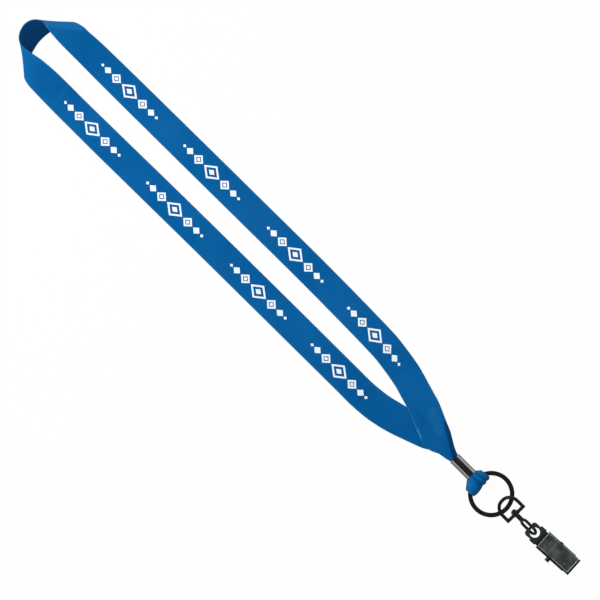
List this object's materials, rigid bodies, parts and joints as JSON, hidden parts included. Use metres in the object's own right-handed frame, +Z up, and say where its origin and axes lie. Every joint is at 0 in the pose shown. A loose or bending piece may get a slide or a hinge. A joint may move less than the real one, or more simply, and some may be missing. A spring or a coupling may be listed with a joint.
{
  "type": "lanyard badge holder",
  "caption": "Flat woven neck strap gathered into a metal crimp, carrying a split ring, a swivel and a sprung badge clip",
  "frame": {"origin": "middle of the holder's underside where it lies flat on the table", "axes": "+Y runs along the holder towards the neck end, +X across it, +Z up from the table"},
  "size_m": [0.051, 0.4752, 0.0143],
  "materials": {
    "ribbon": "woven",
    "crimp_metal": "polished",
    "ring_metal": "glossy",
    "swivel_metal": "satin",
    "clip_metal": "dark plated",
    "spring_steel": "drawn"
  },
  "bodies": {
    "holder": {"strap_left_arm": "ribbon", "strap_right_arm": "ribbon", "strap_neck_turn": "ribbon", "strap_gather_left": "ribbon", "strap_gather_right": "ribbon", "strap_ring_wrap": "ribbon", "crimp_sleeve": "crimp_metal"},
    "ring": {"split_ring": "ring_metal"},
    "stirrup": {"swivel_stirrup": "swivel_metal"},
    "eye": {"swivel_eye": "swivel_metal"},
    "clip": {"clip_base": "clip_metal", "pivot_pin": "clip_metal", "torsion_spring": "spring_steel"},
    "lever": {"clip_lever": "clip_metal"}
  },
  "joints": [
    {"name": "ring_swing", "type": "hinge", "parent": "holder", "child": "ring", "pos_m": [-0.00361, -0.15775, 0.0048], "axis": [0.9934, 0.1149, 0], "range_deg": [-90, 90]},
    {"name": "stirrup_swing", "type": "hinge", "parent": "ring", "child": "stirrup", "pos_m": [-0.00059, -0.18054, 0.0048], "axis": [0.989, 0.1477, 0], "range_deg": [-60, 60]},
    {"name": "swivel_spin", "type": "hinge", "parent": "stirrup", "child": "eye", "pos_m": [-0.00022, -0.18834, 0.0048], "axis": [0, 1, 0], "continuous": true},
    {"name": "clip_swing", "type": "hinge", "parent": "eye", "child": "clip", "pos_m": [-0.00022, -0.20079, 0.0047], "axis": [0.9986, 0.0523, 0], "range_deg": [-100, 45]},
    {"name": "lever_open", "type": "hinge", "parent": "clip", "child": "lever", "pos_m": [0.00087, -0.22166, 0.00513], "axis": [-0.9986, -0.0523, 0], "range_deg": [0, 26], "stiffness_Nm_per_rad": 0.05, "springref_deg": -17.19, "deforming": ["torsion_spring"]}
  ]
}
